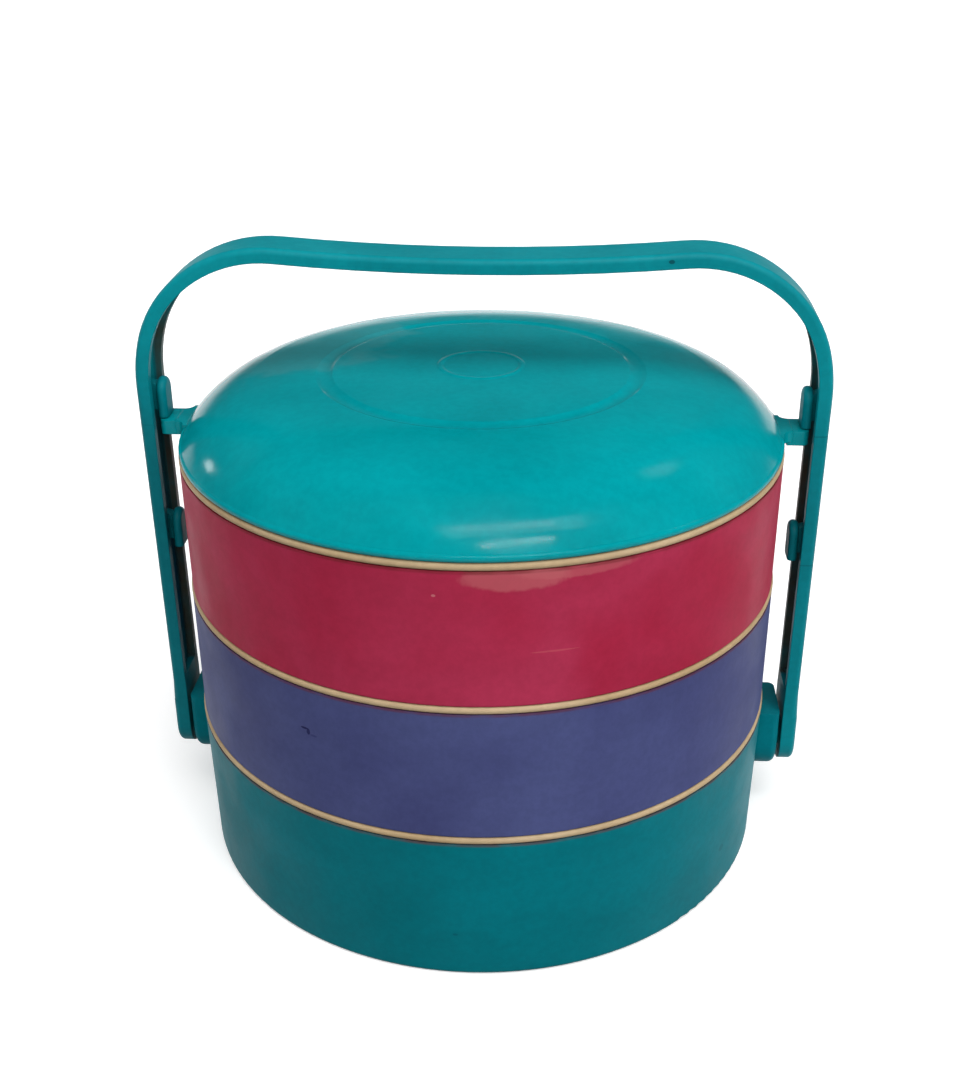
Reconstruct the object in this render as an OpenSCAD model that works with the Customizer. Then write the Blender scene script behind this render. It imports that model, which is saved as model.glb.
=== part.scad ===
/* [Stack] */
// Outer diameter of the pale rim on every container
rim_d = 188.4; // [160:0.2:220]
// Height from one rim to the next
tier_pitch = 43.6; // [36:0.2:56]
// Height of the rim band that shows between two containers
rim_show = 2.2; // [1.6:0.1:2.8]
// Height of the bottom container's coloured shell
base_h = 49; // [44.6:0.1:64.6]

/* [Walls] */
// Wall of a coloured shell
shell_wall = 2; // [1.6:0.1:2.4]
// Wall of a pale liner
liner_wall = 1.6; // [1.2:0.1:1.8]
// Wall of the domed lid
lid_wall = 2.2; // [1.6:0.1:2.8]
// Depth of the ring that seats one piece in the mouth below it
spigot_h = 3; // [2:0.1:4]

/* [Lid] */
// Height of the crown above the rim that the lid sits on
lid_rise = 21.8; // [18:0.1:27]
// Radius at which the flat crown ends, under the outer slope of its groove
crown_ring_r = 50.2; // [40:0.2:56]
// Half width of each ear
ear_hw = 5.6; // [4:0.1:7]
// Height of each ear's top above the rim that the lid sits on
ear_t = 3.5; // [2.4:0.1:5]

/* [Handle] */
// Depth of the strap from front to back
strap_w = 17.5; // [15:0.5:20]
// Thickness of the strap
strap_t = 4.5; // [3.8:0.1:5.5]
// Free height between the crown and the middle of the grip
hand_gap = 30.5; // [24:0.1:50]
// How far the arms' outer faces stand out from the rim
arm_reach = 12.8; // [11.8:0.1:16]
// Height of the pivots above the table
pivot_z = 28.9; // [18:0.1:32]
// Radius of the pivot studs
stud_r = 4; // [3:0.1:5]

/* [Catches] */
// Half width of a catch, also the radius of its rounded top
catch_r = 4.2; // [3.2:0.1:5.4]
// Height of a catch's straight sides above its flat underside
catch_side_h = 8.3; // [6:0.1:10]
// Thickness of a catch's head
catch_t = 3; // [2.9:0.1:3.8]

/* [Hidden] */
$fn = 96;

// plain overrun of a cut past the face it opens
over = 1;
// neighbouring bends of one surface: every second one is drawn in and runs on a little
seam_in = 0.01;
seam_on = 0.3;

// stack levels
rim_r = rim_d / 2;
shell_h = tier_pitch - rim_show;
middle_z = base_h + rim_show;
upper_z = middle_z + tier_pitch;
lid_z = upper_z + tier_pitch;

// coloured shells: the wall leans in towards its foot
shell_set = 0.1;
shell_top_r = rim_r - shell_set;
shell_draft = 0.3;
shell_foot_r = shell_top_r - shell_draft;
shell_floor = 1.8;
shell_edge = 0.7;
base_draft = 1.3;
base_foot_r = shell_top_r - base_draft;
base_edge = 1.5;
base_floor = 2;
foot_recess = 1.2;
foot_ring_w = 5;
base_inner_edge = 1.5;

// pale liners: rim flange, straight mouth, drafted wall and a rounded floor
rim_edge = rim_show / 2;
rim_w = 5.6;
mouth_r = rim_r - rim_w;
mouth_h = 4.4;
liner_draft = 2.4;
liner_low_r = mouth_r - liner_draft;
liner_corner = 9;
liner_lift = 2.4;

// seating ring under each upper container and under the lid
seat_gap = 0.5;
spigot_r = mouth_r - seat_gap;
spigot_w = 2;

// lid dome: shallow crown, broad shoulder, tight edge, then a bead over the rim
lid_set = 0.2;
bead_r = rim_r - lid_set;
bead_h = 2.4;
bead_edge = bead_h / 2;
crown_R = 900;
shoulder_R = 133;
edge_R = 32.3;
edge_in = 0.9;
lid_top_z = lid_z + lid_rise;
crown_a = asin(crown_ring_r / crown_R);
shoulder_0 = [crown_ring_r, crown_at(crown_ring_r)];
shoulder_c = shoulder_0 - shoulder_R * [sin(crown_a), cos(crown_a)];
dome_end = [bead_r - edge_in, bead_h];
edge_c = meet(shoulder_c, shoulder_R - edge_R, dome_end, edge_R);
edge_0 = shoulder_c + (edge_c - shoulder_c) * shoulder_R / (shoulder_R - edge_R);
crown_c = [0, lid_rise - crown_R];
crown_0 = [0, lid_rise];
groove_w = 5.1;
groove_d = 0.7;
groove_in = 1.5;
groove_r = crown_ring_r - groove_in;
groove_R = arch_R(groove_w, groove_d);
hub_ring_r = 12.6;
hub_ring_w = 2;
hub_ring_h = 0.3;
hub_ring_R = arch_R(hub_ring_w, hub_ring_h);
ledge_t = 1.8;

// handle strap: channel section, dipped grip, three bends a side and leaning arms
strap_edge = 1.8;
web_t = 2.2;
flange_t = 2.6;
dip_slope = 4.84;
bend_R = [42.9, 39, 52.6];
bend_to = [-44.6, -74.6, -90.53];
bend_from = [dip_slope, bend_to[0], bend_to[1]];
lean = -90 - bend_to[2];
arm_x = rim_r + arm_reach;
bend_dx = [for (i = [0:2]) bend_R[i] * (sin(bend_from[i]) - sin(bend_to[i]))];
bend_dz = [for (i = [0:2]) bend_R[i] * (cos(bend_to[i]) - cos(bend_from[i]))];
grip_half = arm_x - bend_dx[0] - bend_dx[1] - bend_dx[2];
dip_R = grip_half / sin(dip_slope);
grip_z = lid_top_z + hand_gap + strap_t;
bend_p0 = [grip_half, grip_z + dip_R * (1 - cos(dip_slope))];
bend_p1 = bend_p0 + [bend_dx[0], bend_dz[0]];
bend_p2 = bend_p1 + [bend_dx[1], bend_dz[1]];
bend_p3 = bend_p2 + [bend_dx[2], bend_dz[2]];
bend_p = [bend_p0, bend_p1, bend_p2];

// pivots: lugs on the base shell, pads and studs on the arms
lug_out = 6.1;
lug_x = rim_r + lug_out;
lug_r = 10.35;
lug_rise = 13.4;
lug_edge = 2.4;
lug_root_x = base_foot_r;
pivot_gap = 1.1;
stud_fit = 0.05;
stud_l = 6;
stud_end_gap = 0.4;
pad_x = lug_x + pivot_gap;
pad_bulge = 0.6;
pad_out_x = arm_at(pivot_z) + pad_bulge;
pad_over = 2.16;
pad_top = pivot_z + lug_rise + pad_over;
pad_ramp = 5;
swell_in = 0.03;
swell_side = 0.15;
pad_full = pad_top - pad_ramp;
pad_lean = atan2(pad_out_x - arm_at(pad_top + pad_ramp), 2 * pad_ramp);
ramp_h = 5.2;

// ears and catches
ear_clear = 1;
ear_drop = 1.1;
ear_lip_gap = 0.5;
ear_lip_x = rim_r + ear_lip_gap;
ear_x = arm_x - strap_t - ear_clear;
ear_tip_r = 2;
ear_root_r = 3;
ear_root_x = bead_r - 2 * bead_edge;
tongue_x = bead_r - bead_edge / 2 + ear_root_r;
catch_gap = 0.3;
catch_reach = 7.9;
catch_edge = 1.4;
lower_catch_drop = 1.8;
rib_t = 4;
rib_lift = 2;
rib_dip = 2.5;
rib_end_gap = 0.3;
upper_catch_z = lid_z + ear_t + catch_gap;
lower_catch_z = upper_catch_z - tier_pitch - lower_catch_drop;
// the ribs end on the flat web, a little below the last bend
rib_top = (bend_p3[1] - upper_catch_z - catch_side_h) / cos(lean) - rib_end_gap;

// height of the crown above the rim at a radius
function crown_at(r) = lid_rise - crown_R * (1 - cos(asin(r / crown_R)));

// radius of a circle that stands out from a line, or dips into it, by h over a width w
function arch_R(w, h) = (w * w / 4 + h * h) / (2 * h);

// outer face of the arm at a height
function arm_at(z) = bend_p3[0] - (bend_p3[1] - z) * tan(lean);

// face inside the web on which the pad's core ends, clear of the strap's rounded edges
function core_at(z) = arm_at(z) - (strap_edge + web_t) / 2;

// centre at distance ra from a and rb from b, on the left of the line from a to b
function meet(a, ra, b, rb) = let (
    v = b - a,
    d = norm(v),
    t = (d * d + ra * ra - rb * rb) / (2 * d),
    h = sqrt(ra * ra - t * t)
) a + v * t / d - [v[1], -v[0]] * h / d;

// point p carried on by a length, along the line from q to p
function past(p, q, by = seam_on) = p + (p - q) * by / norm(p - q);

// pie of a circle between the directions to p and q, cut well outside the arc
module pie(c, r, p, q) {
    intersection() {
        translate(c)
            circle(r, $fn = $fn * ceil(r / rim_r));
        polygon([c, c + (p - c) * 2, c + (q - c) * 2]);
    }
}

// half outline under the dome, drawn inward by an offset, over its flat seat
module dome_half(inset) {
    end = dome_end - (dome_end - edge_c) * inset / edge_R;
    intersection() {
        union() {
            pie(crown_c, crown_R - inset, past(crown_0, shoulder_0), shoulder_0);
            pie(shoulder_c, shoulder_R - inset - seam_in, past(shoulder_0, edge_0),
                past(edge_0, shoulder_0));
            pie(edge_c, edge_R - inset, edge_0, edge_c + [edge_R, 0]);
        }
        square([end[0], lid_rise + over]);
    }
}

// half section of a drafted cup with a rounded lower corner
module cup_half(top_r, low_r, floor_z, top_z, corner) {
    polygon([[0, floor_z], [low_r - corner, floor_z], [low_r, floor_z + corner],
        [top_r, top_z], [0, top_z]]);
    translate([low_r - corner, floor_z + corner])
        circle(corner);
}

// pale liner: cup hanging from a flange with a rounded outer edge
module liner(foot_z, seat_z) {
    floor_lo = foot_z + shell_floor + liner_lift;
    floor_hi = floor_lo + liner_wall;
    rotate_extrude() {
        difference() {
            union() {
                cup_half(mouth_r + liner_wall, liner_low_r + liner_wall, floor_lo, seat_z,
                    liner_corner + liner_wall);
                translate([0, seat_z])
                    square([rim_r - rim_edge, rim_show]);
                translate([rim_r - rim_edge, seat_z + rim_edge])
                    circle(rim_edge);
            }
            cup_half(mouth_r, liner_low_r, floor_hi, seat_z + rim_show - mouth_h, liner_corner);
            translate([0, seat_z + rim_show - mouth_h])
                square([mouth_r, mouth_h + over]);
        }
    }
}

// coloured shell of an upper container: wall, floor and the seating ring below it
module tier_shell(foot_z) {
    translate([0, 0, foot_z])
        rotate_extrude() {
            difference() {
                union() {
                    polygon([[0, 0], [shell_foot_r - shell_edge, 0], [shell_foot_r, shell_edge],
                        [shell_top_r, shell_h], [0, shell_h]]);
                    translate([shell_foot_r - shell_edge, shell_edge])
                        circle(shell_edge);
                }
                polygon([[0, shell_floor], [shell_foot_r - shell_wall, shell_floor],
                    [shell_top_r - shell_wall, shell_h + over], [0, shell_h + over]]);
            }
            translate([spigot_r - spigot_w, -spigot_h])
                square([spigot_w, spigot_h + shell_floor / 2]);
        }
}

module base_wall() {
    rotate_extrude()
        difference() {
            union() {
                polygon([[0, 0], [base_foot_r - base_edge, 0], [base_foot_r, base_edge],
                    [shell_top_r, base_h], [0, base_h]]);
                translate([base_foot_r - base_edge, base_edge])
                    circle(base_edge);
            }
            base_hollow();
            translate([0, -over])
                square([base_foot_r - base_edge - foot_ring_w, foot_recess + over]);
        }
}

module base_hollow() {
    inner_r = base_foot_r - shell_wall;
    polygon([[0, base_floor + foot_recess], [inner_r - base_inner_edge, base_floor + foot_recess],
        [inner_r, base_floor + foot_recess + base_inner_edge],
        [shell_top_r - shell_wall, base_h + over], [0, base_h + over]]);
}

// plate in plan from x0 to x1, half depth hy, with its outer corners or all corners rounded
module rounded_plan(x0, x1, hy, r, all = false) {
    lo = all ? x0 + r : x0;
    translate([lo, -hy])
        square([x1 - lo - r, 2 * hy]);
    translate([x0, r - hy])
        square([x1 - x0, 2 * (hy - r)]);
    for (s = [-1, 1], x = all ? [lo, x1 - r] : [x1 - r])
        translate([x, s * (hy - r)])
            circle(r);
}

// the same plate carried round half a turn about the X axis, below it or above it
module rounded_end(x0, x1, hy, r, below, all = false) {
    rotate([below ? 180 : 0, 0, 0])
        rotate([0, 90, 0])
            rotate([0, 0, 90])
                rotate_extrude(angle = 180)
                    intersection() {
                        rotate(90)
                            mirror([0, 1])
                                rounded_plan(x0, x1, hy, r, all);
                        translate([0, x0])
                            square([hy, x1 - x0]);
                    }
}

// one lug on the right side: flat top, rounded lower end
module lug() {
    translate([0, 0, pivot_z]) {
        linear_extrude(height = lug_rise)
            rounded_plan(lug_root_x, lug_x, lug_r, lug_edge);
        rounded_end(lug_root_x, lug_x, lug_r, lug_edge, true);
    }
}

module base_shell() {
    color("#0b7f86")
        difference() {
            union() {
                base_wall();
                lug();
                mirror([1, 0, 0])
                    lug();
            }
            for (s = [-1, 1])
                translate([s * (lug_x - stud_l + pivot_gap - stud_end_gap), 0, pivot_z])
                    rotate([0, s * 90, 0])
                        cylinder(h = stud_l + stud_end_gap + over, r = stud_r + stud_fit);
        }
}

module base_liner() {
    color("#c9b98f")
        liner(foot_recess + base_floor - shell_floor, base_h);
}

module middle_shell() {
    color("#55588c")
        tier_shell(middle_z);
}

module middle_liner() {
    color("#c9b98f")
        liner(middle_z, middle_z + shell_h);
}

module upper_shell() {
    color("#a3344a")
        tier_shell(upper_z);
}

module upper_liner() {
    color("#c9b98f")
        liner(upper_z, upper_z + shell_h);
}

// plan of one ear's root: it leaves the lid between two hollow fillets
module ear_root_plan() {
    difference() {
        translate([ear_root_x, -ear_hw - ear_root_r])
            square([tongue_x - ear_root_x, 2 * (ear_hw + ear_root_r)]);
        for (s = [-1, 1])
            translate([tongue_x, s * (ear_hw + ear_root_r)])
                circle(ear_root_r);
    }
}

module lid() {
    color("#0a8f97")
        translate([0, 0, lid_z]) {
            rotate_extrude() {
                difference() {
                    union() {
                        dome_half(0);
                        square([bead_r - bead_edge, bead_h]);
                        translate([bead_r - bead_edge, bead_edge])
                            circle(bead_edge);
                        translate([hub_ring_r, crown_at(hub_ring_r) + hub_ring_h - hub_ring_R])
                            circle(hub_ring_R);
                    }
                    dome_half(lid_wall);
                    translate([groove_r, crown_at(groove_r) - groove_d + groove_R])
                        circle(groove_R);
                }
                translate([spigot_r - spigot_w, 0])
                    square([dome_end[0] - lid_wall / 2 - spigot_r + spigot_w, ledge_t]);
                translate([spigot_r - spigot_w, -spigot_h])
                    square([spigot_w, spigot_h + ledge_t / 2]);
            }
            for (s = [0, 1])
                mirror([s, 0, 0]) {
                    linear_extrude(height = ear_t)
                        ear_root_plan();
                    translate([ear_lip_x, -ear_hw, -ear_drop])
                        cube([tongue_x - ear_lip_x, 2 * ear_hw, ear_drop + ear_t / 2]);
                }
        }
}

// tongues that carry the ears on to their rounded tips
module ears() {
    color("#0a8f97")
        translate([0, 0, lid_z])
            for (s = [0, 1])
                mirror([s, 0, 0])
                    translate([0, 0, -ear_drop])
                        linear_extrude(height = ear_drop + ear_t)
                            rounded_plan(tongue_x, ear_x, ear_hw, ear_tip_r);
}

// strap section: outer face on x = 0, material to -x, channel open on the inner side
module strap_section(inset) {
    hw = strap_w / 2;
    translate([-strap_edge, strap_edge - hw])
        square([strap_edge - inset, strap_w - 2 * strap_edge]);
    difference() {
        union() {
            translate([inset - strap_t, inset - hw])
                square([strap_t - strap_edge - inset, strap_w - 2 * inset]);
            for (s = [-1, 1])
                translate([-strap_edge, s * (hw - strap_edge)])
                    circle(strap_edge - inset);
        }
        translate([-strap_t - over, flange_t - hw - inset])
            square([strap_t - web_t + over + inset, strap_w - 2 * (flange_t - inset)]);
    }
}

// one bend of the right half, turning clockwise from one heading to another
module strap_bend(i) {
    p = bend_p[i];
    c = p + bend_R[i] * [sin(bend_from[i]), -cos(bend_from[i])];
    drawn = i % 2 == 0;
    on = drawn ? seam_on / bend_R[i] * 180 / PI : 0;
    translate([c[0], 0, c[1]])
        rotate([90, 0, 0])
            rotate([0, 0, bend_to[i] + 90 - on])
                rotate_extrude(angle = bend_from[i] - bend_to[i] + 2 * on)
                    translate([bend_R[i], 0])
                        strap_section(drawn ? seam_in : 0);
}

// grip: one long shallow bend, dipped in the middle
module grip() {
    translate([0, 0, grip_z + dip_R])
        rotate([90, 0, 0])
            rotate([0, 0, 270 - dip_slope])
                rotate_extrude(angle = 2 * dip_slope)
                    translate([dip_R, 0])
                        mirror([1, 0])
                            strap_section(0);
}

// straight leaning arm from the last bend down into the pad
module arm() {
    run = (bend_p3[1] - pad_full) / cos(lean) + strap_edge;
    translate([bend_p3[0], 0, bend_p3[1]])
        rotate([0, 180 + lean, 0])
            linear_extrude(height = run)
                mirror([1, 0])
                    strap_section(0);
}

// thick lower end of the arm with its stud
module pad() {
    hw = strap_w / 2;
    translate([pad_out_x - swell_in, 0, pad_full])
        rotate([0, -pad_lean, 0])
            translate([0, 0, -seam_on])
                linear_extrude(height = 2 * pad_ramp / cos(pad_lean) + strap_edge)
                    rounded_plan(-web_t, 0, hw - swell_side, strap_edge);
    translate([0, 0, pivot_z]) {
        linear_extrude(height = pad_full + seam_on - pivot_z)
            rounded_plan(pad_x, pad_out_x, hw, strap_edge);
        linear_extrude(height = pad_top - pivot_z)
            translate([pad_x, -hw])
                square([core_at(pad_top) - pad_x, strap_w]);
        rounded_end(pad_x, pad_out_x, hw, strap_edge, true);
        translate([pad_x - stud_l, 0, 0])
            rotate([0, 90, 0])
                cylinder(h = stud_l + strap_t / 2, r = stud_r);
    }
    translate([0, hw, 0])
        rotate([90, 0, 0])
            linear_extrude(height = strap_w)
                polygon([[pad_x, pad_top], [core_at(pad_top), pad_top],
                    [core_at(pad_top + ramp_h), pad_top + ramp_h],
                    [arm_at(pad_top + ramp_h) - strap_t, pad_top + ramp_h]]);
}

module handle() {
    color("#0c8b93") {
        grip();
        for (s = [0, 1])
            mirror([s, 0, 0]) {
                for (i = [0:2])
                    strap_bend(i);
                arm();
                pad();
            }
    }
}

// one catch on the right arm: rounded plate, flat underside, held off the arm by a rib
module catch(z) {
    mid_z = z + catch_side_h;
    head_x = catch_reach - arm_at(mid_z);
    mirror([1, 0, 0])
        translate([0, 0, mid_z]) {
            translate([0, 0, -catch_side_h])
                linear_extrude(height = catch_side_h)
                    rounded_plan(head_x - catch_t, head_x, catch_r, catch_edge, true);
            rounded_end(head_x - catch_t, head_x, catch_r, catch_edge, false, true);
        }
    catch_rib(mid_z, catch_t / 2 - catch_reach);
}

// rib from the middle of the plate to the strap's web, rising towards the web
module catch_rib(mid_z, x) {
    translate([arm_at(mid_z), rib_t / 2, mid_z])
        rotate([0, lean, 0])
            rotate([90, 0, 0])
                linear_extrude(height = rib_t)
                    polygon([[x, rib_lift - catch_side_h], [-web_t, rib_lift - catch_side_h],
                        [-web_t, rib_top], [x, catch_r - rib_dip]]);
}

module upper_catches() {
    color("#0c8b93")
        for (s = [0, 1])
            mirror([s, 0, 0])
                catch(upper_catch_z);
}

module lower_catches() {
    color("#0c8b93")
        for (s = [0, 1])
            mirror([s, 0, 0])
                catch(lower_catch_z);
}

base_shell();
base_liner();
middle_shell();
middle_liner();
upper_shell();
upper_liner();
lid();
ears();
handle();
upper_catches();
lower_catches();
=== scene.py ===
"""Dressed scene of a stacking food container: camera, studio and moulded plastic finishes."""
import math
from collections import namedtuple

import bpy
from mathutils import Matrix, Vector


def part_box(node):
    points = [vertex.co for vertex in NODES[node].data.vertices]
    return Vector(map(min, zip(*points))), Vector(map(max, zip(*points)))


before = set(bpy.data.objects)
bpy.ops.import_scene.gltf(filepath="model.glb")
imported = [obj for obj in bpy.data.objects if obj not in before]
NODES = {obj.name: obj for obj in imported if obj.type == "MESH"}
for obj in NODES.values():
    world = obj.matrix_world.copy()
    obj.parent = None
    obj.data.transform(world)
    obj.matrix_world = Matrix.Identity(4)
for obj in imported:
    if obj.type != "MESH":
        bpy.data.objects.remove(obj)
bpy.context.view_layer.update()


# Colours
def linear(level):
    """Linear value of an 8-bit sRGB one."""
    level /= 255
    return level / 12.92 if level <= 0.04045 else ((level + 0.055) / 1.055) ** 2.4


def srgb(r, g, b):
    """Linear colour of an 8-bit sRGB one."""
    return (linear(r), linear(g), linear(b), 1.0)


def grey(level):
    """Neutral colour of a linear level."""
    return (level, level, level, 1.0)


WHITE = grey(1.0)


# Node trees
class Tree:
    """Small helper over a node tree: each call adds nodes and most return an output socket."""

    def __init__(self, tree):
        self.tree = tree
        tree.nodes.clear()

    def node(self, kind, values=None, **props):
        n = self.tree.nodes.new(kind)
        for name, value in props.items():
            setattr(n, name, value)
        for name, value in (values or {}).items():
            n.inputs[name].default_value = value
        return n

    def link(self, output, socket):
        self.tree.links.new(output, socket)

    def put(self, value, socket):
        """Link an output socket, or set a plain value."""
        if isinstance(value, bpy.types.NodeSocket):
            self.link(value, socket)
        else:
            socket.default_value = value

    def surface(self, shader, kind="ShaderNodeOutputMaterial"):
        self.link(shader.outputs[0], self.node(kind).inputs["Surface"])

    def coord(self, name="Object"):
        return self.node("ShaderNodeTexCoord").outputs[name]

    def math(self, op, *values):
        n = self.node("ShaderNodeMath", operation=op)
        for value, socket in zip(values, n.inputs):
            self.put(value, socket)
        return n.outputs[0]

    def product(self, first, *rest):
        for part in rest:
            first = self.math("MULTIPLY", first, part)
        return first

    def sep(self, vec):
        n = self.node("ShaderNodeSeparateXYZ")
        self.link(vec, n.inputs[0])
        return n.outputs[0], n.outputs[1], n.outputs[2]

    def ramp(self, value, stops):
        """Value ramp through two (position, value) stops, eased between them."""
        (start, low), (end, high) = stops
        spans = {"From Min": start, "From Max": end, "To Min": low, "To Max": high}
        n = self.node("ShaderNodeMapRange", interpolation_type="SMOOTHSTEP")
        for name, part in spans.items():
            self.put(part, n.inputs[name])
        self.put(value, n.inputs["Value"])
        return n.outputs[0]

    def mix(self, fac, a, b, blend="MIX"):
        """Colour mix; the colour sockets of the node are numbers 6 and 7 in and 2 out."""
        n = self.node("ShaderNodeMix", data_type="RGBA", blend_type=blend)
        for value, place in ((fac, 0), (a, 6), (b, 7)):
            self.put(value, n.inputs[place])
        return n.outputs[2]

    def mix_value(self, fac, a, b):
        """Number mix; the number sockets of the node are numbers 2 and 3 in and 0 out."""
        n = self.node("ShaderNodeMix", data_type="FLOAT")
        for value, place in ((fac, 0), (a, 2), (b, 3)):
            self.put(value, n.inputs[place])
        return n.outputs[0]

    def move(self, vec, loc=(0, 0, 0), scale=(1, 1, 1)):
        n = self.node("ShaderNodeMapping", {"Location": loc, "Scale": scale})
        self.link(vec, n.inputs["Vector"])
        return n.outputs[0]

    def noise(self, vec, scale, detail, rough=0.5, warp=0.0):
        values = {"Scale": scale, "Detail": detail, "Roughness": rough, "Distortion": warp}
        n = self.node("ShaderNodeTexNoise", values)
        self.link(vec, n.inputs["Vector"])
        return n.outputs["Fac"]

    def spot(self, pos, mark):
        """Mask of a ragged patch about a mark's centre."""
        loc = [-c / s for c, s in zip(mark.centre, mark.size)]
        near = self.move(pos, loc, [1 / s for s in mark.size])
        far = self.node("ShaderNodeVectorMath", operation="LENGTH")
        self.link(near, far.inputs[0])
        grain = self.noise(pos, mark.grain, SPOT_DETAIL)
        fray = self.math("MULTIPLY_ADD", grain, mark.ragged, -mark.ragged / 2)
        reach = self.math("ADD", far.outputs["Value"], fray)
        return self.ramp(reach, SPOT_EDGE)


# Camera: distance in metres and elevation about the point it was fitted to, then its small turns, in radians
CAM_DIST = 0.524956
CAM_EL = 0.633619
CAM_AZ = math.radians(3.8)
CAM_DROP = 0.0056
CAM_PAN = -0.001934
CAM_TILT = 0.181605
CAM_ROLL = 0.007099
# focal length and height of the photograph's frame, pixels
FOCAL_PX = 1435.58
FRAME_H = 1080
SENSOR_H = 24.0
CLIP_NEAR, CLIP_FAR = 0.01, 100


def make_camera():
    """Camera at the photograph's place, turned by pan, tilt and roll, then swung about the object."""
    place = Vector((0, -CAM_DIST * math.cos(CAM_EL), CAM_DIST * math.sin(CAM_EL)))
    fwd = Vector((0, math.cos(CAM_EL), -math.sin(CAM_EL)))
    right = Vector((1, 0, 0))
    up = right.cross(fwd)
    turn = Matrix.Rotation(CAM_PAN, 3, up)
    fwd, right = turn @ fwd, turn @ right
    turn = Matrix.Rotation(CAM_TILT, 3, right)
    fwd, up = turn @ fwd, turn @ up
    turn = Matrix.Rotation(CAM_ROLL, 3, fwd)
    right, up = turn @ right, turn @ up
    swing = Matrix.Rotation(CAM_AZ, 3, "Z")
    place, right, up, fwd = (swing @ v for v in (place, right, up, fwd))
    place.z -= CAM_DROP
    data = bpy.data.cameras.new("camera")
    data.sensor_fit = "VERTICAL"
    data.sensor_height = SENSOR_H
    data.lens = FOCAL_PX / FRAME_H * SENSOR_H
    data.clip_start = CLIP_NEAR
    data.clip_end = CLIP_FAR
    cam = bpy.data.objects.new("camera", data)
    bpy.context.scene.collection.objects.link(cam)
    cam.matrix_world = Matrix((
        (right.x, up.x, -fwd.x, place.x),
        (right.y, up.y, -fwd.y, place.y),
        (right.z, up.z, -fwd.z, place.z),
        (0, 0, 0, 1)))
    bpy.context.scene.camera = cam


# Studio lamps: name, azimuth and elevation in degrees (azimuth from the front, + to the right)
# wide lights of the sky, then the level of each: 1 would light a face turned to it just as its colour is written
SKY = (
    ("top", 12, 75, 0.32),
    ("front", 20, 50, 0.24),
    ("right", 60, 45, 0.18),
    ("right_low", 50, 15, 0.29),
    ("left", -60, 45, 0.14),
    ("front_low", 0, 15, 0.16),
    ("back_left", -120, 20, 0.18),
    ("back_right", 120, 20, 0.16),
    ("back", 180, 15, 0.18),
)
SKY_SPREAD = math.radians(44)
# windows that the gloss mirrors, then width and height in metres, watts, and whether only the gloss has them
WINDOWS = (
    ("window_front", 20, 58, 1.15, 0.36, 6.0, True),
    ("window_core", 16, 60, 0.80, 0.13, 2.4, False),
    ("window_edge", 18, 45, 0.60, 0.02, 4.0, True),
    ("window_back", 126.5, 50.6, 0.24, 0.18, 0.45, False),
    ("window_left", -118, 14, 0.14, 0.14, 0.7, False),
)
WINDOW_DIST = 1.6
WINDOW_AIM = Vector((0, 0, 0.12))


def heading(az, el):
    """Unit vector towards an azimuth and elevation, degrees."""
    a, e = math.radians(az), math.radians(el)
    return Vector((math.sin(a) * math.cos(e), -math.cos(a) * math.cos(e), math.sin(e)))


def add_lamp(name, kind, az, el):
    """Lamp at the origin that shines from an azimuth and elevation."""
    lamp = bpy.data.objects.new(name, bpy.data.lights.new(name, kind))
    bpy.context.scene.collection.objects.link(lamp)
    lamp.rotation_mode = "QUATERNION"
    lamp.rotation_quaternion = heading(az, el).to_track_quat("Z", "Y")
    return lamp


def sky_light(name, az, el, level):
    """Wide soft light from one side of the sky, the same over the whole floor. It shows in no gloss."""
    lamp = add_lamp(name, "SUN", az, el)
    lamp.data.angle = SKY_SPREAD
    lamp.data.energy = level * math.pi
    lamp.visible_glossy = False


def window(name, az, el, width, height, watts, gloss_only):
    """Rectangular lamp that faces the object from WINDOW_DIST away."""
    lamp = add_lamp(name, "AREA", az, el)
    lamp.data.shape = "RECTANGLE"
    lamp.data.size = width
    lamp.data.size_y = height
    lamp.data.energy = watts
    lamp.location = WINDOW_AIM + heading(az, el) * WINDOW_DIST
    lamp.visible_camera = False
    lamp.visible_diffuse = not gloss_only


# World: strengths of its plain light and of the dim room that the gloss mirrors, low down and overhead
WORLD_FILL = 0.07
ROOM_LOW, ROOM_HIGH = 0.06, 0.03
# sines of the elevations where the backdrop has faded out, and between which the room grows dimmer
BACKDROP_END = 0.09
ROOM_FROM, ROOM_TO = 0.05, 0.9


def make_world():
    """White where the camera sees it. The gloss mirrors a white backdrop, and over it a dim room."""
    world = bpy.data.worlds.new("studio")
    bpy.context.scene.world = world
    world.use_nodes = True
    t = Tree(world.node_tree)
    rise = t.sep(t.coord("Generated"))[2]
    path = t.node("ShaderNodeLightPath").outputs
    backdrop = t.ramp(rise, ((0.0, 1.0), (BACKDROP_END, 0.0)))
    room = t.ramp(rise, ((ROOM_FROM, ROOM_LOW), (ROOM_TO, ROOM_HIGH)))
    seen = t.math("MAXIMUM", path["Is Camera Ray"], path["Is Transmission Ray"])
    white = t.math("MAXIMUM", seen, t.product(path["Is Glossy Ray"], backdrop))
    dim = t.mix_value(path["Is Glossy Ray"], WORLD_FILL, room)
    back = t.node("ShaderNodeBackground", {"Color": WHITE})
    t.link(t.mix_value(white, dim, 1.0), back.inputs["Strength"])
    t.surface(back, "ShaderNodeOutputWorld")


# Floor: side in metres, paper, what it reflects onto the object, and the lift that makes it look white
FLOOR_SIDE = 30.0
PAPER_DARK, PAPER_PALE = grey(0.90), grey(0.94)
PAPER_GRAIN = {"scale": 30, "detail": 4}
PAPER_ROUGH = 0.9
FLOOR_BOUNCE = grey(0.28)
FLOOR_LIFT = 0.3


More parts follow.
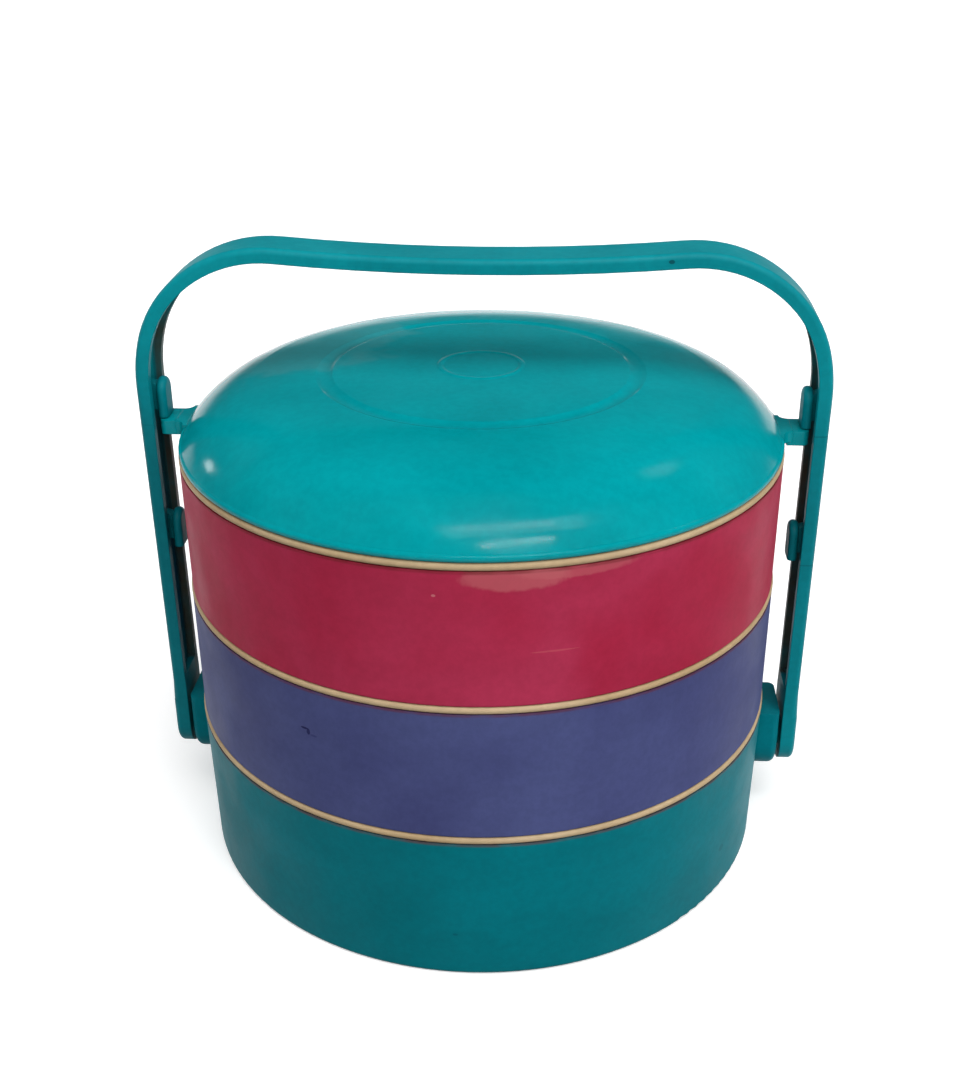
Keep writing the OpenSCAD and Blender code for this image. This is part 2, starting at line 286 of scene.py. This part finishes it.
def paper():
    """Pale matt paper. Only where it is seen is it this pale, so that it sends little light up."""
    mat = bpy.data.materials.new("floor_paper")
    mat.use_nodes = True
    t = Tree(mat.node_tree)
    path = t.node("ShaderNodeLightPath").outputs
    mirrored = t.math("MAXIMUM", path["Is Glossy Ray"], path["Is Transmission Ray"])
    seen = t.math("MAXIMUM", path["Is Camera Ray"], mirrored)
    sheet = t.mix(t.noise(t.coord(), **PAPER_GRAIN), PAPER_DARK, PAPER_PALE)
    values = {"Roughness": PAPER_ROUGH, "Specular IOR Level": 0.0, "Emission Color": WHITE}
    bsdf = t.node("ShaderNodeBsdfPrincipled", values)
    t.link(t.mix(seen, FLOOR_BOUNCE, sheet), bsdf.inputs["Base Color"])
    t.link(t.product(seen, FLOOR_LIFT), bsdf.inputs["Emission Strength"])
    t.surface(bsdf)
    return mat


def make_floor():
    half = FLOOR_SIDE / 2
    corners = [(-half, -half, 0), (half, -half, 0), (half, half, 0), (-half, half, 0)]
    mesh = bpy.data.meshes.new("floor")
    mesh.from_pydata(corners, [], [(0, 1, 2, 3)])
    mesh.materials.append(paper())
    floor = bpy.data.objects.new("floor", mesh)
    bpy.context.scene.collection.objects.link(floor)


# Moulded plastic: each noise, then the two stops of the ramp over it
CLOUD = {"scale": 16, "detail": 3, "rough": 0.55, "warp": 0.5}
CLOUD_STOPS = ((0.32, 0.0), (0.68, 1.0))
FLOW = {"scale": 34, "detail": 3}
FLOW_STRETCH = (1, 1, 3)
FLOW_STOPS = ((0.35, 0.97), (0.65, 1.03))
MOTTLE = {"scale": 420, "detail": 3, "rough": 0.65}
MOTTLE_STOPS = ((0.3, 0.95), (0.7, 1.05))
# unevenness of the gloss, taken from and added to the roughness
WORN = {"scale": 60, "detail": 3}
WORN_SMOOTH, WORN_ROUGH = (0.3, -0.04), (0.7, 0.06)
# orange peel, its depth and the softening of edges, metres
PEEL = {"scale": 900, "detail": 2}
PEEL_DEPTH = 0.0004
EDGE_R = 0.0005
EDGE_SAMPLES = 4
SKIN_IOR = 1.24
SATIN_ROUGH = 0.45
SATIN_SHINE = 0.15
SATIN_PEEL = 0.05

# Painted shade in crevices: reach in metres, how shut in a place is at both ends, the most painted shade and its
# tint
CREVICE_REACH = 0.0035
CREVICE_SAMPLES = 6
CREVICE_SHUT, CREVICE_OPEN = 0.35, 0.85
CREVICE_SHADE_AMOUNT = 0.3
CREVICE_SHADE_TINT = (0.35, 0.25, 0.16, 1)
# painted shadow line under each pale rim: how far under the shell's top it starts and is full, metres
RIM_SHADOW = srgb(96, 34, 30)
LINE_START, LINE_FULL = 0.0011, 0.0003
LINE_BREAKS = {"scale": 120, "detail": 3}
LINE_BREAKS_STOPS = ((0.3, 0.25), (0.6, 0.6))

# Marks: centre and half sizes in metres, tint, the most of it, how ragged, and the scale of the raggedness
Mark = namedtuple("Mark", "centre size tint amount ragged grain", defaults=(0.35, 500))
SPOT_EDGE = ((0.75, 1.0), (1.05, 0.0))
SPOT_DETAIL = 3


def clouded(t, pos, deep, pale):
    """Cloudy colour with flow streaks and a fine mottle."""
    colour = t.mix(t.ramp(t.noise(pos, **CLOUD), CLOUD_STOPS), deep, pale)
    flow = t.ramp(t.noise(t.move(pos, scale=FLOW_STRETCH), **FLOW), FLOW_STOPS)
    mottle = t.ramp(t.noise(pos, **MOTTLE), MOTTLE_STOPS)
    for shade in (flow, mottle):
        colour = t.mix(1.0, colour, shade, "MULTIPLY")
    return colour


def marked(t, pos, colour, marks):
    """Scuffs, stains, and patches of painted reflection and sheen."""
    for mark in marks:
        colour = t.mix(t.product(t.spot(pos, mark), mark.amount), colour, mark.tint)
    return colour


def rim_shadow(t, pos, colour, top_z):
    """Broken dark line where the shell meets the pale rim: a painted shadow."""
    height = t.sep(pos)[2]
    line = t.ramp(height, ((top_z - LINE_START, 0.0), (top_z - LINE_FULL, 1.0)))
    broken = t.ramp(t.noise(pos, **LINE_BREAKS), LINE_BREAKS_STOPS)
    return t.mix(t.product(line, broken), colour, RIM_SHADOW)


def crevice_shade(t, colour):
    """Painted shade where neighbouring faces shut a place in."""
    crevice = t.node("ShaderNodeAmbientOcclusion", {"Distance": CREVICE_REACH}, samples=CREVICE_SAMPLES)
    depth = t.ramp(crevice.outputs["AO"], ((CREVICE_SHUT, CREVICE_SHADE_AMOUNT), (CREVICE_OPEN, 0.0)))
    return t.mix(depth, colour, t.mix(1.0, colour, CREVICE_SHADE_TINT, "MULTIPLY"))


def skin(t, pos, colour, rough, shine, peel):
    """Shader of uneven gloss, with softened edges and orange peel."""
    bsdf = t.node("ShaderNodeBsdfPrincipled", {"Specular IOR Level": shine, "IOR": SKIN_IOR})
    t.link(colour, bsdf.inputs["Base Color"])
    stops = [(place, rough + change) for place, change in (WORN_SMOOTH, WORN_ROUGH)]
    t.link(t.ramp(t.noise(pos, **WORN), stops), bsdf.inputs["Roughness"])
    edge = t.node("ShaderNodeBevel", {"Radius": EDGE_R}, samples=EDGE_SAMPLES)
    bump = t.node("ShaderNodeBump", {"Strength": peel, "Distance": PEEL_DEPTH})
    t.link(t.noise(pos, **PEEL), bump.inputs["Height"])
    t.link(edge.outputs[0], bump.inputs["Normal"])
    t.link(bump.outputs[0], bsdf.inputs["Normal"])
    return bsdf


def plastic(name, deep, pale, rough=SATIN_ROUGH, shine=SATIN_SHINE, peel=SATIN_PEEL, marks=(),
            rim_z=None, painted_shade=None):
    """Moulded plastic between two colours, with its marks, painted shadow line under the rim, painted shade in
    crevices and any painted shade given.
    """
    mat = bpy.data.materials.new(name)
    mat.use_nodes = True
    t = Tree(mat.node_tree)
    pos = t.coord()
    colour = marked(t, pos, clouded(t, pos, deep, pale), marks)
    if rim_z is not None:
        colour = rim_shadow(t, pos, colour, rim_z)
    if painted_shade is not None:
        colour = painted_shade(t, pos, colour)
    # every plastic gets painted shade in its crevices
    t.surface(skin(t, pos, crevice_shade(t, colour), rough, shine, peel))
    return mat


# Arms: painted shade on them, most on the left one, as stops along X and Z and the amounts left and right
ARM_SHADE = srgb(0, 72, 82)
ARM_SHADE_SIDE = ((0.094, 0.0), (0.100, 1.0))
ARM_SHADE_HEIGHT = ((0.130, 1.0), (0.180, 0.0))
ARM_SHADE_AMOUNT = ((-0.05, 0.5), (0.05, 0.2))
# painted brown shade and reflection in their channels: stops for the inside of the web, the back flange and the
# two ends, metres
CHANNEL_SHADE = srgb(74, 66, 50)
CHANNEL_SHADE_INSIDE = ((0.1036, 1.0), (0.1050, 0.0))
CHANNEL_SHADE_BEHIND = ((0.0035, 0.0), (0.0060, 1.0))
CHANNEL_SHADE_FOOT = ((0.040, 0.0), (0.050, 1.0))
CHANNEL_SHADE_HEAD = ((0.166, 1.0), (0.188, 0.0))
# the painted shade and reflection stay off faces that look backward or outward
CHANNEL_SHADE_BACKWARD = ((0.3, 1.0), (0.8, 0.0))
CHANNEL_SHADE_OUTWARD = ((0.0, 1.0), (0.3, 0.0))
CHANNEL_SHADE_BREAKS = {"scale": 90, "detail": 3}
CHANNEL_SHADE_BREAKS_STOPS = ((0.25, 0.55), (0.65, 0.9))


def arm_shade(t, pos, colour):
    """Painted shade down both arms, darker on the left one."""
    x, _, z = t.sep(pos)
    side = t.ramp(t.math("ABSOLUTE", x), ARM_SHADE_SIDE)
    return t.mix(t.product(side, t.ramp(z, ARM_SHADE_HEIGHT), t.ramp(x, ARM_SHADE_AMOUNT)), colour, ARM_SHADE)


def arm_shade_and_reflection(t, pos, colour):
    """Painted shade on both arms, and painted brown shade and reflection inside their channels."""
    x, y, z = t.sep(pos)
    nx, ny, _ = t.sep(t.coord("Normal"))
    outward = t.product(nx, t.math("SIGN", x))
    mask = t.product(
        t.ramp(t.noise(pos, **CHANNEL_SHADE_BREAKS), CHANNEL_SHADE_BREAKS_STOPS),
        t.ramp(t.math("ABSOLUTE", x), CHANNEL_SHADE_INSIDE),
        t.ramp(ny, CHANNEL_SHADE_BACKWARD),
        t.ramp(outward, CHANNEL_SHADE_OUTWARD),
        t.ramp(y, CHANNEL_SHADE_BEHIND),
        t.ramp(z, CHANNEL_SHADE_FOOT),
        t.ramp(z, CHANNEL_SHADE_HEAD))
    return t.mix(mask, arm_shade(t, pos, colour), CHANNEL_SHADE)


# Finishes: the deeper and the paler colour of each
LID_DEEP, LID_PALE = srgb(0, 138, 146), srgb(2, 148, 156)
BASE_DEEP, BASE_PALE = srgb(0, 104, 114), srgb(0, 113, 124)
HANDLE_DEEP, HANDLE_PALE = srgb(0, 127, 137), srgb(2, 139, 149)
MAROON_DEEP, MAROON_PALE = srgb(160, 34, 62), srgb(171, 50, 80)
VIOLET_DEEP, VIOLET_PALE = srgb(64, 69, 114), srgb(74, 81, 127)
CREAM_DEEP, CREAM_PALE = srgb(174, 149, 113), srgb(188, 166, 133)
LID_ROUGH, LID_SHINE, LID_PEEL = 0.12, 0.3, 0.02
HANDLE_SHINE = 0.35
CREAM_ROUGH = 0.4

# pale colour of a painted reflection on the maroon shell
PAINTED_REFLECTION = srgb(190, 104, 108)
MAROON_MARKS = (
    # painted reflection patch under the lid, and its thin end on the right
    Mark((0.0145, -0.0935, 0.1343), (0.0155, 0.05, 0.0042), PAINTED_REFLECTION, 0.5),
    Mark((0.0300, -0.0900, 0.1353), (0.0170, 0.05, 0.0024), PAINTED_REFLECTION, 0.4),
    # pale fleck and thin scratch
    Mark((-0.0067, -0.0939, 0.1290), (0.0006, 0.01, 0.0004), srgb(215, 150, 150), 0.45),
    Mark((0.0252, -0.0907, 0.1115), (0.0070, 0.05, 0.0003), srgb(205, 110, 110), 0.25),
)
VIOLET_MARKS = (
    # one dark scuff in three strokes
    Mark((-0.0455, -0.0824, 0.0792), (0.0013, 0.02, 0.0004), srgb(20, 22, 64), 0.9),
    Mark((-0.0444, -0.0830, 0.0783), (0.0006, 0.02, 0.0011), srgb(24, 26, 70), 0.85),
    Mark((-0.0428, -0.0838, 0.0775), (0.0012, 0.02, 0.0004), srgb(44, 46, 92), 0.55),
)
BASE_MARKS = (
    # dark specks near the foot
    Mark((-0.0026, -0.0941, 0.0154), (0.0009, 0.004, 0.0005), srgb(0, 66, 82), 0.5),
    Mark((0.0790, -0.0511, 0.0170), (0.0011, 0.004, 0.0015), srgb(0, 80, 92), 0.4),
)
LID_MARKS = (
    # cloudy painted sheen on the left
    Mark((-0.0520, 0.0220, 0.1550), (0.0260, 0.0330, 0.0200), srgb(92, 146, 148), 0.25, 1.9, 42),
)
SCORE = srgb(0, 62, 74)
SCORE_SIZE = (0.0050, 0.0020, 0.0003)
HANDLE_MARKS = (
    # nick in the grip, and fine scores across the fronts of the arms
    Mark((0.0564, -0.0086, 0.1953), (0.0010, 0.0012, 0.0007), srgb(0, 60, 70), 0.8),
    Mark((0.1050, -0.0087, 0.1415), SCORE_SIZE, SCORE, 0.35),
    Mark((0.1045, -0.0087, 0.0975), SCORE_SIZE, SCORE, 0.35),
    Mark((-0.1050, -0.0087, 0.1415), SCORE_SIZE, SCORE, 0.15),
)


def shell(node, name, deep, pale, marks):
    """Finish of a coloured shell, with its painted shadow line under the pale rim."""
    top_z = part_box(node)[1][2]
    return plastic(name, deep, pale, marks=marks, rim_z=top_z)


FINISH = {
    "lid": plastic("lid_teal", LID_DEEP, LID_PALE, LID_ROUGH, LID_SHINE, LID_PEEL, LID_MARKS),
    "base_shell": shell("base_shell", "base_teal", BASE_DEEP, BASE_PALE, BASE_MARKS),
    "middle_shell": shell("middle_shell", "violet", VIOLET_DEEP, VIOLET_PALE, VIOLET_MARKS),
    "upper_shell": shell("upper_shell", "maroon", MAROON_DEEP, MAROON_PALE, MAROON_MARKS),
    # the handle's arms carry painted shade, with painted shade and reflection in their channels
    "handle": plastic("handle_teal", HANDLE_DEEP, HANDLE_PALE, shine=HANDLE_SHINE, marks=HANDLE_MARKS,
                      painted_shade=arm_shade_and_reflection),
    "liner": plastic("cream", CREAM_DEEP, CREAM_PALE, CREAM_ROUGH),
}
# nodes that wear the finish of another
WEARS = {
    "ears": "lid",
    "upper_catches": "handle",
    "lower_catches": "handle",
    "base_liner": "liner",
    "middle_liner": "liner",
    "upper_liner": "liner",
}


def dress():
    """Each CAD node gets its finish."""
    for node, piece in NODES.items():
        piece.data.materials.clear()
        piece.data.materials.append(FINISH[WEARS.get(node, node)])


make_camera()
make_world()
make_floor()
for row in SKY:
    sky_light(*row)
for row in WINDOWS:
    window(*row)
dress()

bpy.context.scene.view_settings.view_transform = "Standard"
